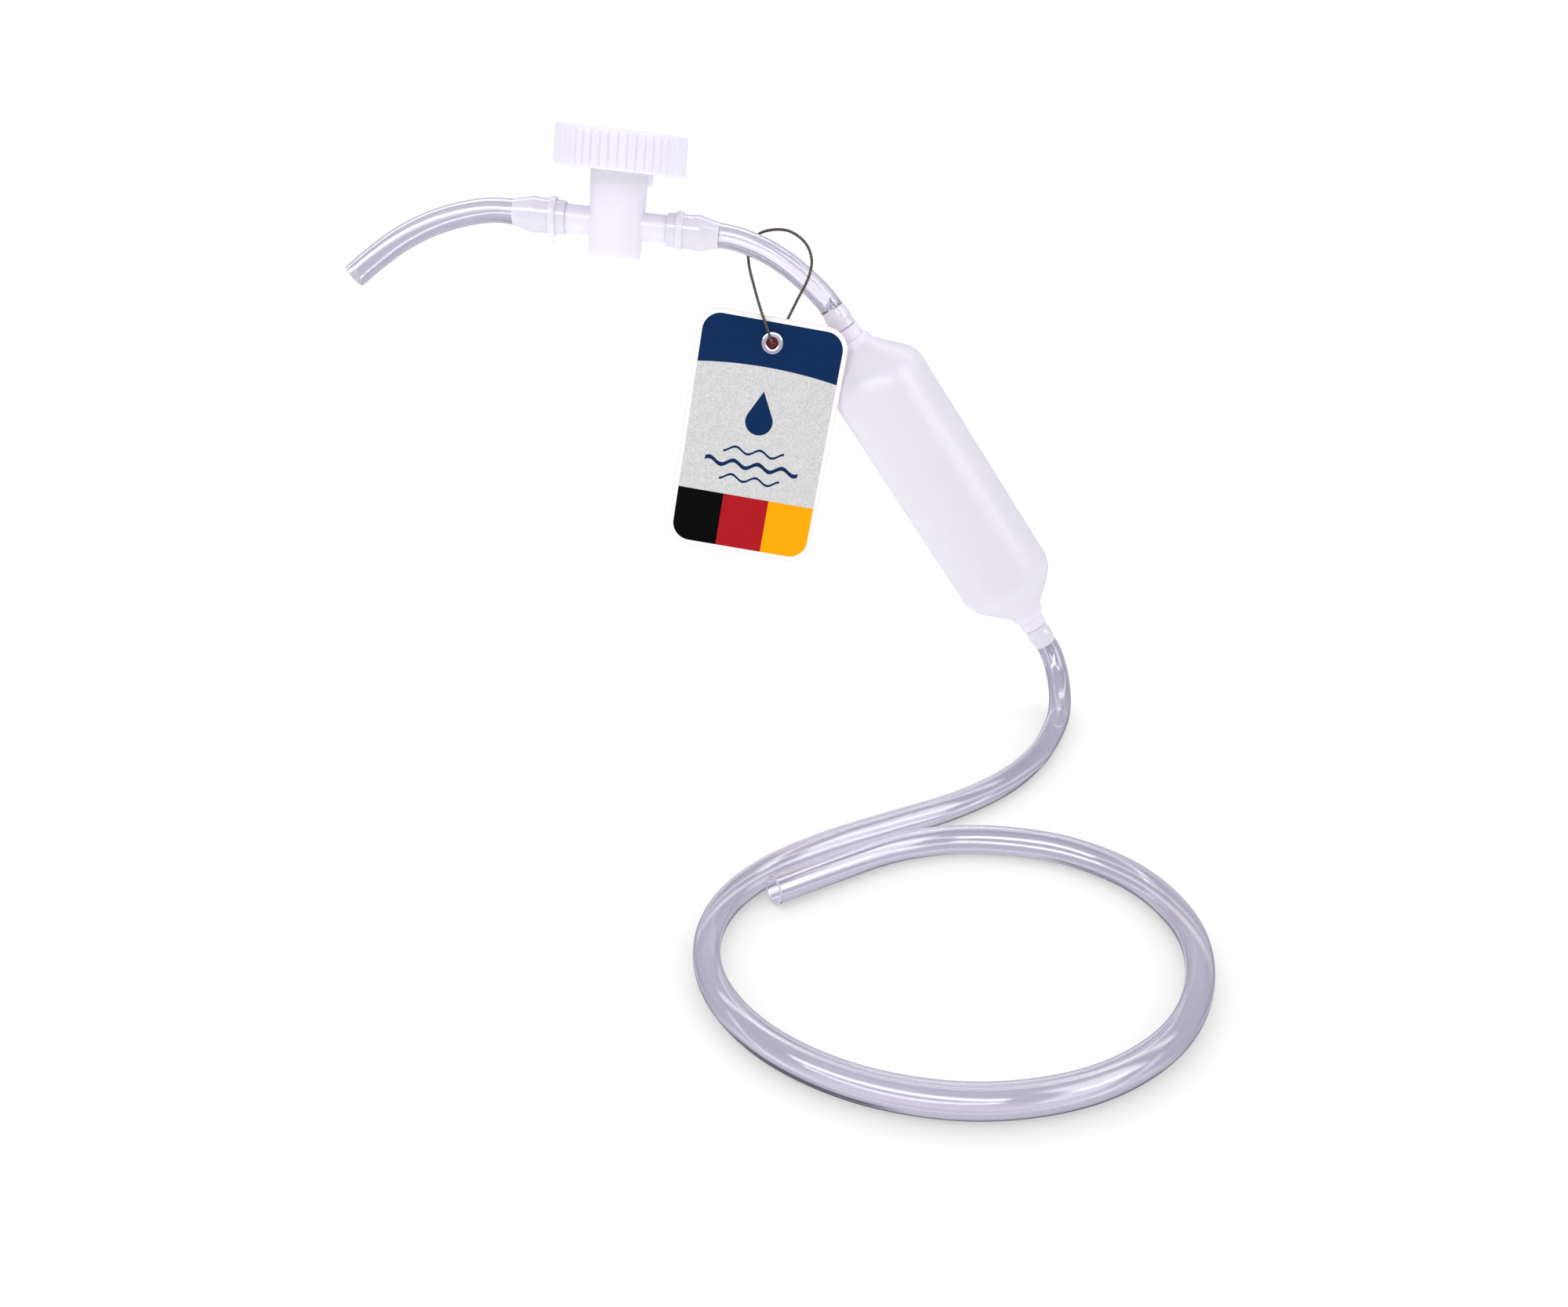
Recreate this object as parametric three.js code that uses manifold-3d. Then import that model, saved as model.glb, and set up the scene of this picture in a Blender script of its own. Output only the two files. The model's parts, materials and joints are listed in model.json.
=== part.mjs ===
// Hand siphon for brewing and winemaking: a squeeze bulb that starts the flow, a quarter-turn tap that
// stops it, and clear hoses pushed over their barbs. Millimetres, +Z up, +X towards the bulb, -Y to the
// front. The origin is where the tap's arms cross its barrel, which is where a hand or a clip holds it.
import * as THREE from "three";
import { mergeVertices } from "three/addons/utils/BufferGeometryUtils.js";
import Module from "manifold-3d";

// ---------------------------------------------------------------- driving dimensions
const GAP = 0.35; // between pieces that touch on the real object
const TURN = 2 * Math.PI;
const DEGREE = Math.PI / 180;

// Clear hose.
const HOSE_R = 6.0; // outer radius
const HOSE_BORE_R = 5.0;
const HOSE_SIDES = 10;
const CUFF_WALL = 0.85; // wall of the stretch pushed over a barb

// Tap, in its own frame: arms along X, barrel along Z.
const TAP_TILT = 6.3 * DEGREE; // the +X arm hangs a little low
const PORT_R = 4.0; // bore through the arms and the plug
const ARM_R = 6.9;
const ARM_TIP = 52; // end of each barb, from the middle
const BARREL_TOP_R = 14.3;
const BARREL_FOOT_R = 13.2;
const BARREL_TOP = 27.4;
const BARREL_FOOT = -16.5;
const PLUG_R = 9.2;
const BORE_R = PLUG_R + GAP;
const BORE_FLOOR = -13;
const FLANGE_R = 11.4; // on the plug, under the retaining ring
const FLANGE_FOOT = 18.4;
const FLANGE_TOP = 20.8;
const COUNTERBORE_R = FLANGE_R + GAP;
const RING_R = 12.6;
const RING_BORE_R = 9.4;
const RING_FOOT = 21.2;
const RING_TOP = 22.6;
const DRIVE = 9; // side of the plug's square end
const DRIVE_TOP = 38;
const SEAL_R = 0.8; // O-ring section
const SEAL_Z = [-8.2, 11.5];
const LUG_R = 16.6; // stop lug on the barrel
const LUG_WIDTH = 6;
const LUG_FOOT = 19.4;

// Knob.
const KNOB_R = 32.8;
const KNOB_FOOT = 25.4;
const KNOB_TOP = 44;
const KNOB_RIBS = 46;
const RIB_DEPTH = 0.9;
const KNOB_WALL = 2.6;
const KNOB_ROOF = 3;
const BOSS_R = 8.6;
const BOSS_FOOT = 28.2;
const STOP_ANGLES = [17 * DEGREE, -107 * DEGREE]; // the ribs under the knob that meet the lug

// Clips round the hose on each arm.
const CLIP_X = 32;
const CLIP_WIDTH = 3.4;
const CLIP_R = 9.6;
const CLIP_BORE_R = 8.9;
const CLIP_TAB = 4.6;

// Squeeze bulb, along its own Z.
const BULB_CENTRE = new THREE.Vector3(171.4, 0, -133.7);
const BULB_TILT = -33.83 * DEGREE; // its top leans towards the tap
const BULB_R = 26;
const BULB_WALL = 1.6;
const BULB_TIP = 110.8; // end of each barb, from the middle
const BULB_CUFF = 99; // where the hose ends over the barb
const COLLAR_R = 7; // the neck, which is as wide as the hose that butts against it
const BARB_BORE_R = 3.8;

// Swing tag.
const TAG_CENTRE = new THREE.Vector3(70.1, -13, -106.9);
const TAG_TILT = 10 * DEGREE;
const TAG_WIDTH = 78;
const TAG_HEIGHT = 126;
const TAG_CORNER = 12;
const TAG_THICKNESS = 0.8;
const TAG_HOLE_UP = 50; // from the middle of the tag to its hole
const TAG_HOLE_R = 3.7;
const EYELET_R = 5.7;
const EYELET_BORE_R = 3.0;
const STRING_R = 0.6;

// Centre lines, as points on one smooth curve each.
const FLOOR_Z = -256.5; // centre of a hose lying on the floor
const OUTLET_ROUTE = [
  [-51.7, 5.7],
  [-58, 6.3],
  [-65.5, 6.3],
  [-79, 4.2],
  [-94, -0.2],
  [-109, -7.1],
  [-123, -16],
  [-135.6, -25.4],
].map(([x, z]) => new THREE.Vector3(x, 0, z));
const LINK_ROUTE = [
  [51.7, -5.7],
  [57, -6.5],
  [64, -8.4],
  [76, -13.4],
  [88, -20.9],
  [98.5, -29.6],
  [106, -37.1],
  [110.5, -43.0],
].map(([x, z]) => new THREE.Vector3(x, 0, z));
const SUCTION_ROUTE = [
  [233.1, 0, -225.7],
  [236.3, -0.6, -231],
  [239.3, -5.4, -240],
  [239.7, -16.5, -249],
  [236.6, -32.5, -254.9],
  [228.6, -56, FLOOR_Z],
  [213.5, -89, FLOOR_Z],
  [192, -119, FLOOR_Z],
  [165, -143, FLOOR_Z],
  [135, -161.5, FLOOR_Z],
  [105.5, -180, FLOOR_Z],
  [79, -202.5, FLOOR_Z],
  [61.5, -229, FLOOR_Z],
  [55, -259, FLOOR_Z],
  [60.5, -290.5, FLOOR_Z],
  [79.5, -320.5, FLOOR_Z],
  [110.5, -342, FLOOR_Z],
  [148, -350, FLOOR_Z],
  [187, -341.8, FLOOR_Z],
  [218.8, -318.4, FLOOR_Z],
  [238.8, -284, FLOOR_Z],
  [244.6, -246.5, FLOOR_Z],
  [234, -210, FLOOR_Z],
  [210, -186, FLOOR_Z],
  [184, -177, FLOOR_Z],
  [159.5, -176, FLOOR_Z],
  [134, -183.5, FLOOR_Z],
  [106, -201.5, FLOOR_Z],
  [80.4, -219.8, FLOOR_Z],
].map((p) => new THREE.Vector3(...p));
const STRING_ROUTE = [
  [83.4, -10.3, -51.6],
  [80.9, -10.2, -55.2],
  [78.9, -11.6, -57.7],
  [78.6, -14, -57.6],
  [77.8, -15.8, -55],
  [75.9, -15.7, -49],
  [73.2, -14.8, -41.5],
  [69.6, -9, -30],
  [66.8, 0.5, -19.6],
  [66.8, 8.2, -12.6],
  [70.6, 9.3, -6.4],
  [76.5, 5.5, -3.6],
  [87.5, -1.5, -3.6],
  [96, -6.5, -9.6],
  [98.8, -9.4, -17.6],
  [97, -10.6, -26],
  [91.6, -10.9, -36.4],
  [87, -10.6, -45.4],
  [83.9, -10.4, -51.4],
].map((p) => new THREE.Vector3(...p));

// ---------------------------------------------------------------- materials
const plastic = (colour, roughness) =>
  new THREE.MeshStandardMaterial({ color: colour, roughness, metalness: 0 });
const MILKY = plastic(0xeae6f6, 0.42);
const CLEAR = new THREE.MeshStandardMaterial({
  color: 0xc9c5d6,
  roughness: 0.12,
  transparent: true,
  opacity: 0.55,
});
const RUBBER = plastic(0x1d1d1f, 0.7);
const CARD = plastic(0xe3e4e1, 0.85);
const FIBRE = plastic(0x7a2626, 0.9);
const STRING = plastic(0x4a4544, 0.9);
const STEEL = new THREE.MeshStandardMaterial({
  color: 0xc8ccd2,
  roughness: 0.25,
  metalness: 1,
});

// ---------------------------------------------------------------- solids
const wasm = await Module();
wasm.setup();

function solid(geometry) {
  const bare = geometry.index ? geometry.toNonIndexed() : geometry.clone();
  bare.deleteAttribute("normal");
  bare.deleteAttribute("uv");
  const merged = mergeVertices(bare, 1e-4);
  const corners = [...merged.index.array];
  const kept = [];
  for (let i = 0; i < corners.length; i += 3) {
    const [a, b, c] = corners.slice(i, i + 3);
    if (a !== b && b !== c && c !== a) kept.push(a, b, c);
  }
  return new wasm.Manifold(
    new wasm.Mesh({
      numProp: 3,
      vertProperties: new Float32Array(merged.attributes.position.array),
      triVerts: new Uint32Array(kept),
    }),
  );
}

function geometryOf(made) {
  const mesh = made.getMesh();
  const geometry = new THREE.BufferGeometry();
  geometry.setAttribute(
    "position",
    new THREE.BufferAttribute(mesh.vertProperties, 3),
  );
  geometry.setIndex(new THREE.BufferAttribute(mesh.triVerts, 1));
  return geometry;
}

const join = (first, ...others) =>
  others.reduce((sum, next) => sum.add(solid(next)), solid(first));
const cut = (made, ...others) =>
  others.reduce((left, next) => left.subtract(solid(next)), made);

// A turned piece about Z. The profile is a list of [radius, height] that closes on itself or on the axis.
function turned(profile, segments, closed = false) {
  const points = profile.map(([r, z]) => new THREE.Vector2(r, z));
  if (closed) points.push(points[0].clone());
  return new THREE.LatheGeometry(points, segments).rotateX(Math.PI / 2);
}

// The same piece laid along +X (side 1) or -X (side -1).
const alongX = (geometry, side) => geometry.rotateY((side * Math.PI) / 2);

const bar = (radius, low, high, segments) =>
  turned(
    [
      [0, low],
      [radius, low],
      [radius, high],
      [0, high],
    ],
    segments,
  );

const block = (x, y, z) => new THREE.BoxGeometry(x, y, z);

function polygon(radius, sides) {
  const points = [];
  for (let i = 0; i < sides; i++) {
    const angle = (TURN * i) / sides;
    points.push(
      new THREE.Vector2(radius * Math.cos(angle), radius * Math.sin(angle)),
    );
  }
  return points;
}

function tube(route, outer, bore, sides, step) {
  const path = new THREE.CatmullRomCurve3(route);
  const shape = new THREE.Shape(polygon(outer, sides));
  if (bore) shape.holes.push(new THREE.Path(polygon(bore, sides)));
  const steps = Math.ceil(path.getLength() / step);
  return new THREE.ExtrudeGeometry(shape, { steps, extrudePath: path });
}

const group = new THREE.Group();
const tap = new THREE.Group();
tap.rotation.y = TAP_TILT;
const bulbFrame = new THREE.Group();
bulbFrame.position.copy(BULB_CENTRE);
bulbFrame.rotation.y = BULB_TILT;
const tag = new THREE.Group();
tag.position.copy(TAG_CENTRE);
tag.rotation.y = TAG_TILT;
group.add(tap, bulbFrame, tag);
group.updateMatrixWorld(true);

function node(name, geometry, material, parent = group) {
  const mesh = new THREE.Mesh(geometry, material);
  mesh.name = name;
  parent.add(mesh);
}

// ---------------------------------------------------------------- tap
// Outside of an arm: plain, then a barb that swells and tapers to the tip.
const armProfile = [
  [0, 0],
  [ARM_R, 0],
  [ARM_R, 39.5],
  [7.9, 40.2],
  [7.9, 42],
  [5.4, ARM_TIP],
  [0, ARM_TIP],
];

function tapBody() {
  const barrel = turned(
    [
      [0, BARREL_FOOT],
      [BARREL_FOOT_R - 1, BARREL_FOOT],
      [BARREL_FOOT_R, BARREL_FOOT + 1],
      [BARREL_TOP_R, BARREL_TOP - 8],
      [BARREL_TOP_R, BARREL_TOP],
      [0, BARREL_TOP],
    ],
    32,
  );
  const arms = [-1, 1].map((side) => alongX(turned(armProfile, 24), side));
  const lug = block(LUG_R - 12, LUG_WIDTH, BARREL_TOP - LUG_FOOT).translate(
    (LUG_R + 12) / 2,
    0,
    (BARREL_TOP + LUG_FOOT) / 2,
  );
  const bore = turned(
    [
      [0, BORE_FLOOR],
      [BORE_R, BORE_FLOOR],
      [BORE_R, FLANGE_FOOT - GAP],
      [COUNTERBORE_R, FLANGE_FOOT - GAP],
      [COUNTERBORE_R, RING_FOOT - GAP],
      [RING_R + GAP, RING_FOOT - GAP],
      [RING_R + GAP, RING_TOP + GAP],
      [COUNTERBORE_R, RING_TOP + GAP],
      [COUNTERBORE_R, BARREL_TOP + 1],
      [0, BARREL_TOP + 1],
    ],
    32,
  );
  const port = alongX(bar(PORT_R, -ARM_TIP - 1, ARM_TIP + 1, 20), 1);
  return geometryOf(cut(join(barrel, ...arms, lug), bore, port));
}

// The turning plug: a cross bore in line with the arms, a groove for each seal, a flange and a square end.
function tapPlug() {
  const grooveR = PLUG_R - 2 * SEAL_R - 0.3;
  const grooveHalf = SEAL_R + 0.35;
  const grooves = SEAL_Z.flatMap((z) => [
    [PLUG_R, z - grooveHalf],
    [grooveR, z - grooveHalf],
    [grooveR, z + grooveHalf],
    [PLUG_R, z + grooveHalf],
  ]);
  const stem = turned(
    [
      [0, BORE_FLOOR + GAP],
      [PLUG_R, BORE_FLOOR + GAP],
      ...grooves,
      [PLUG_R, FLANGE_FOOT],
      [FLANGE_R, FLANGE_FOOT],
      [FLANGE_R, FLANGE_TOP],
      [7, FLANGE_TOP],
      [7, 27],
      [0, 27],
    ],
    28,
  );
  const drive = block(DRIVE, DRIVE, DRIVE_TOP - 26).translate(
    0,
    0,
    (DRIVE_TOP + 26) / 2,
  );
  const port = alongX(bar(PORT_R, -PLUG_R - 1, PLUG_R + 1, 20), 1);
  return geometryOf(cut(join(stem, drive), port));
}

const sealRing = () =>
  new THREE.TorusGeometry(PLUG_R - SEAL_R - 0.05, SEAL_R, 6, 24);

// A flat spring ring with a gap, snapped into the groove above the plug's flange.
function retainingRing() {
  const half = 18 * DEGREE;
  const shape = new THREE.Shape();
  shape.absarc(0, 0, RING_R, half, TURN - half, false);
  shape.absarc(0, 0, RING_BORE_R, TURN - half, half, true);
  shape.closePath();
  return new THREE.ExtrudeGeometry(shape, {
    depth: RING_TOP - RING_FOOT,
    bevelEnabled: false,
    curveSegments: 14,
  }).translate(0, 0, RING_FOOT);
}

// Outline of the grip: a circle with flat-topped ribs.
function ribbedOutline() {
  const points = [];
  for (let i = 0; i < KNOB_RIBS; i++) {
    [
      [0.08, KNOB_R - RIB_DEPTH],
      [0.3, KNOB_R],
      [0.7, KNOB_R],
      [0.92, KNOB_R - RIB_DEPTH],
    ].forEach(([part, radius]) => {
      const angle = (TURN * (i + part)) / KNOB_RIBS;
      points.push(
        new THREE.Vector2(radius * Math.cos(angle), radius * Math.sin(angle)),
      );
    });
  }
  return new THREE.Shape(points);
}

// The knob is a cap: ribbed skirt, roof, a middle boss with a square socket, and two stops under the roof.
function tapKnob() {
  const skirt = new THREE.ExtrudeGeometry(ribbedOutline(), {
    depth: KNOB_TOP - KNOB_FOOT - 1.6,
    bevelEnabled: false,
  }).translate(0, 0, KNOB_FOOT);
  const crown = turned(
    [
      [0, KNOB_TOP - 3],
      [KNOB_R - 1, KNOB_TOP - 3],
      [KNOB_R - 0.6, KNOB_TOP - 0.8],
      [KNOB_R - 1.4, KNOB_TOP],
      [0, KNOB_TOP],
    ],
    64,
  );
  const hollow = turned(
    [
      [0, KNOB_FOOT - 1],
      [KNOB_R - RIB_DEPTH - KNOB_WALL, KNOB_FOOT - 1],
      [KNOB_R - RIB_DEPTH - KNOB_WALL - 0.8, KNOB_TOP - KNOB_ROOF],
      [0, KNOB_TOP - KNOB_ROOF],
    ],
    48,
  );
  const boss = bar(BOSS_R, BOSS_FOOT, KNOB_TOP - 1, 32);
  const stops = STOP_ANGLES.map((angle) =>
    block(3.2, 2.4, KNOB_TOP - 1 - 25.8)
      .translate(16.6, 0, (KNOB_TOP - 1 + 25.8) / 2)
      .rotateZ(angle),
  );
  const socket = block(DRIVE + 2 * GAP, DRIVE + 2 * GAP, 20).translate(
    0,
    0,
    DRIVE_TOP + GAP - 10,
  );
  const shell = cut(join(skirt, crown), hollow);
  return geometryOf(
    cut(
      stops.reduce(
        (sum, stop) => sum.add(solid(stop)),
        shell.add(solid(boss)),
      ),
      socket,
    ),
  );
}

// A narrow plastic ring that grips the hose, with a pull tab at the given angle from straight down.
function hoseClip(side, tabAngle) {
  const low = CLIP_X - CLIP_WIDTH / 2;
  const high = CLIP_X + CLIP_WIDTH / 2;
  const ring = turned(
    [
      [CLIP_BORE_R, low],
      [CLIP_R, low],
      [CLIP_R, high],
      [CLIP_BORE_R, high],
    ],
    28,
    true,
  );
  const tab = block(3.2, CLIP_WIDTH - 0.4, CLIP_TAB + 0.5)
    .rotateZ(Math.PI / 2)
    .translate(0, 0, -CLIP_R - CLIP_TAB / 2 + 0.2)
    .rotateX(tabAngle)
    .translate(side * CLIP_X, 0, 0);
  return geometryOf(join(alongX(ring, side), tab));
}

node("tap_body", tapBody(), MILKY, tap);
node("tap_plug", tapPlug(), MILKY, tap);
["lower", "upper"].forEach((place, i) =>
  node(`plug_seal_${place}`, sealRing().translate(0, 0, SEAL_Z[i]), RUBBER, tap),
);
node("plug_retaining_ring", retainingRing(), STEEL, tap);
node("tap_knob", tapKnob(), MILKY, tap);
node("outlet_hose_clip", hoseClip(-1, 0), MILKY, tap);
node("link_hose_clip", hoseClip(1, 100 * DEGREE), MILKY, tap);

// ---------------------------------------------------------------- squeeze bulb
// Half of the bulb's outside, from its middle to a barb's tip.
const bulbHalf = [
  [BULB_R, 64.5],
  [BULB_R - 0.7, 68.5],
  [BULB_R - 2.4, 72],
  [21.2, 75.2],
  [10.6, 86],
  [9.0, 88.4],
  [8.7, 91.4],
  [COLLAR_R, 92.2],
  [COLLAR_R, BULB_CUFF - GAP],
  [5.4, BULB_CUFF - GAP],
  [5.4, 102.6],
  [5.85, 103.4],
  [5.85, 105.6],
  [5.0, BULB_TIP],
];
const bulbInside = [
  [BARB_BORE_R, BULB_TIP],
  [BARB_BORE_R, 90],
  [9.8, 84.4],
  [20.2, 73.8],
  [BULB_R - BULB_WALL - 2, 70.4],
  [BULB_R - BULB_WALL, 64],
];

function bulb() {
  const down = (profile) =>
    profile.map(([r, z]) => [r, -z]).reverse();
  const profile = [
    ...down(bulbHalf),
    ...bulbHalf,
    ...bulbInside,
    ...down(bulbInside),
  ];
  return turned(profile, 28, true);
}

node("squeeze_bulb", bulb(), MILKY, bulbFrame);

// ---------------------------------------------------------------- hoses
// The end of a hose stretched over a barb: [inner radius, height] from the hose's cut end to the plain hose.
function cuff(inside, frame, turnOver) {
  const outside = inside.map(([r, z]) => [
    r + (r > HOSE_BORE_R + 0.2 ? CUFF_WALL : HOSE_R - HOSE_BORE_R),
    z,
  ]);
  const made = turned([...outside, ...inside.slice().reverse()], 20, true);
  if (turnOver) turnOver(made);
  return made.applyMatrix4(frame.matrixWorld);
}

const tapCuff = [
  [7.5, 25.6],
  [7.6, 38],
  [7.9 + GAP, 40],
  [7.9 + GAP, 42.4],
  [6.9, 47.6],
  [5.8, ARM_TIP],
  [HOSE_BORE_R, ARM_TIP + 3.6],
  [HOSE_BORE_R, ARM_TIP + 4.6],
];
const bulbCuff = [
  [5.75, BULB_CUFF],
  [5.85 + GAP, 103.2],
  [5.85 + GAP, 105.8],
  [5.4, BULB_TIP],
  [HOSE_BORE_R, BULB_TIP + 1.8],
  [HOSE_BORE_R, BULB_TIP + 2.6],
];
const toOutlet = (geometry) => alongX(geometry, -1);
const toLink = (geometry) => alongX(geometry, 1);
const downwards = (geometry) => geometry.rotateX(Math.PI);

// The bare tube starts just past the tip of the barb, so its end is trimmed back to there.
function hose(route, cuffs, tips) {
  const bare = tube(route, HOSE_R, HOSE_BORE_R, HOSE_SIDES, 20);
  const trimmed = tips.reduce(
    (left, tip) => left.subtract(solid(tip)),
    solid(bare),
  );
  return geometryOf(
    cuffs.reduce((sum, next) => sum.add(solid(next)), trimmed),
  );
}

// A short solid that removes the first stretch of bare tube, where the cuff takes over.
function tipCutter(low, frame, turnOver) {
  const made = bar(HOSE_R + 3, low - 8, low, 24);
  if (turnOver) turnOver(made);
  return made.applyMatrix4(frame.matrixWorld);
}

node(
  "outlet_hose",
  hose(
    OUTLET_ROUTE,
    [cuff(tapCuff, tap, toOutlet)],
    [tipCutter(ARM_TIP + 4.2, tap, toOutlet)],
  ),
  CLEAR,
);
node(
  "link_hose",
  hose(
    LINK_ROUTE,
    [cuff(tapCuff, tap, toLink), cuff(bulbCuff, bulbFrame)],
    [
      tipCutter(ARM_TIP + 4.2, tap, toLink),
      tipCutter(BULB_TIP + 2.2, bulbFrame),
    ],
  ),
  CLEAR,
);
node(
  "suction_hose",
  hose(
    SUCTION_ROUTE,
    [cuff(bulbCuff, bulbFrame, downwards)],
    [tipCutter(BULB_TIP + 2.2, bulbFrame, downwards)],
  ),
  CLEAR,
);

// ---------------------------------------------------------------- swing tag
function roundedRectangle(width, height, radius) {
  const x = width / 2 - radius;
  const y = height / 2 - radius;
  const shape = new THREE.Shape();
  shape.absarc(x, y, radius, 0, TURN / 4, false);
  shape.absarc(-x, y, radius, TURN / 4, TURN / 2, false);
  shape.absarc(-x, -y, radius, TURN / 2, (3 * TURN) / 4, false);
  shape.absarc(x, -y, radius, (3 * TURN) / 4, TURN, false);
  shape.closePath();
  return shape;
}

function tagCard() {
  const shape = roundedRectangle(TAG_WIDTH, TAG_HEIGHT, TAG_CORNER);
  const hole = new THREE.Path();
  hole.absarc(0, TAG_HOLE_UP, TAG_HOLE_R, 0, TURN, true);
  shape.holes.push(hole);
  return new THREE.ExtrudeGeometry(shape, {
    depth: TAG_THICKNESS,
    bevelEnabled: false,
    curveSegments: 10,
  })
    .translate(0, 0, -TAG_THICKNESS / 2)
    .rotateX(Math.PI / 2);
}

// Turned pieces of the tag's hole: height 0 is the middle of the card and +Z turns to face the front.
const atHole = (geometry) =>
  geometry.rotateX(Math.PI / 2).translate(0, 0, TAG_HOLE_UP);

const eyelet = () =>
  atHole(
    turned(
      [
        [EYELET_BORE_R, -0.2],
        [EYELET_BORE_R + 0.35, -0.3],
        [EYELET_BORE_R + 0.35, TAG_THICKNESS / 2 + GAP],
        [EYELET_R - 0.3, TAG_THICKNESS / 2 + GAP],
        [EYELET_R, TAG_THICKNESS / 2 + GAP + 0.2],
        [EYELET_R - 0.6, TAG_THICKNESS / 2 + GAP + 0.7],
        [EYELET_BORE_R + 0.7, TAG_THICKNESS / 2 + GAP + 0.8],
        [EYELET_BORE_R, TAG_THICKNESS / 2 + GAP + 0.4],
      ],
      20,
      true,
    ),
  );

const fibreWasher = () =>
  atHole(
    turned(
      [
        [1.9, -TAG_THICKNESS / 2 - GAP - 0.5],
        [6.4, -TAG_THICKNESS / 2 - GAP - 0.5],
        [6.4, -TAG_THICKNESS / 2 - GAP],
        [1.9, -TAG_THICKNESS / 2 - GAP],
      ],
      20,
      true,
    ),
  );

// The string is one loop through the hole and round the link hose, tied behind the card.
function tagString() {
  const loop = tube(STRING_ROUTE, STRING_R, 0, 8, 4);
  const knot = new THREE.SphereGeometry(1.5, 8, 6)
    .scale(1, 0.85, 1.2)
    .translate(83.75, -10.3, -51.6);
  return geometryOf(join(loop, knot));
}

node("tag_card", tagCard(), CARD, tag);
node("tag_eyelet", eyelet(), STEEL, tag);
node("tag_fibre_washer", fibreWasher(), FIBRE, tag);
node("tag_string", tagString(), STRING);

export default group;
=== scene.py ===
"""Looks of the hand siphon: clear hoses, milky tap, knob, clips and squeeze bulb, and a printed swing tag.

Every length is in millimetres in the CAD frame until a mesh is made, which turns it into metres.
"""

import json
import math

import bmesh
import bpy
from mathutils import Matrix, Vector

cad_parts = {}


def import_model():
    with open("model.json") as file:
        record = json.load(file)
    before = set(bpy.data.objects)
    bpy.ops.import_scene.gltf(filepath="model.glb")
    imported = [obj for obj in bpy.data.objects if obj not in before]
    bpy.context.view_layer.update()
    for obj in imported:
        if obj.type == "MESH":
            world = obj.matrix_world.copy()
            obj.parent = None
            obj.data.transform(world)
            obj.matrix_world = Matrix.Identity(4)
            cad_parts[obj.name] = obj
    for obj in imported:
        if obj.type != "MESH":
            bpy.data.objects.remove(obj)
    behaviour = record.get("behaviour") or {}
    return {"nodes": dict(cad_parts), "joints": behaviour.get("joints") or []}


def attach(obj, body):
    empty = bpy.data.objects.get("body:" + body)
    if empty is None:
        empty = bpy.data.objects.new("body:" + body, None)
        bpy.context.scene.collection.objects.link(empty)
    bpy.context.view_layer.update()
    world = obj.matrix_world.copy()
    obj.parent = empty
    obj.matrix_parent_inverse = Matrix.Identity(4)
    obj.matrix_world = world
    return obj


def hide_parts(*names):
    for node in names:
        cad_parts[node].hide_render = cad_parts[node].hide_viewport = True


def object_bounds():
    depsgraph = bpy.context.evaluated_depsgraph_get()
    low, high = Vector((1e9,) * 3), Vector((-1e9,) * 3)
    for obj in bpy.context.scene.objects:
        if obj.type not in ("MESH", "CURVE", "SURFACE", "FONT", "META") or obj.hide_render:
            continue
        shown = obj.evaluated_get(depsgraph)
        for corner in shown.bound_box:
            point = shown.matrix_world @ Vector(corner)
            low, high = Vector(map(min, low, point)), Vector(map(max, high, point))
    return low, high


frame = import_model()
CAD_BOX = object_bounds()

MM = 0.001
TURN = 2 * math.pi
UP = Vector((0, 0, 1))

# ---------------------------------------------------------------- driving dimensions, as in the CAD source
HOSE_R = 6.0
HOSE_BORE_R = 5.0
WALL = HOSE_R - HOSE_BORE_R
STRETCHED_WALL = 0.95  # over a barb
GRIP = 0.05  # how far a stretched hose presses into what it grips
CUFF_START = 25.6  # where a hose ends on the tap's arm, from the middle of the tap
ARM_TIP = 52
BULB_CUFF = 99  # where a hose ends on the bulb's neck, from the middle of the bulb
BULB_TIP = 110.8
COLLAR_R = 7  # the bulb's neck, as wide as the hose that butts against it
COLLAR_END = 98.6
CLIP_X = 32
KNOB_RIBS = 46
TAG_WIDTH = 78
TAG_HEIGHT = 126
TAG_CORNER = 12
TAG_THICKNESS = 0.8
TAG_HOLE_UP = 50
STRING_R = 0.7  # 0.1 more than in the CAD source
KNOT = Vector((83.75, -10.3, -51.6))  # behind the tag, where the string's two ends are tied
KNOT_SIZE = 0.5

KNOB_AXIS = Vector(next(j for j in frame["joints"] if j["name"] == "knob_turn")["axis"])
TAP = Matrix.Rotation(math.atan2(KNOB_AXIS.x, KNOB_AXIS.z), 4, "Y")
BULB = Matrix.Translation((171.4, 0, -133.7)) @ Matrix.Rotation(math.radians(-33.83), 4, "Y")
TAG = Matrix.Translation((70.1, -13, -106.9)) @ Matrix.Rotation(math.radians(10), 4, "Y")
FLOOR_Z = CAD_BOX[0].z / MM

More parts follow.
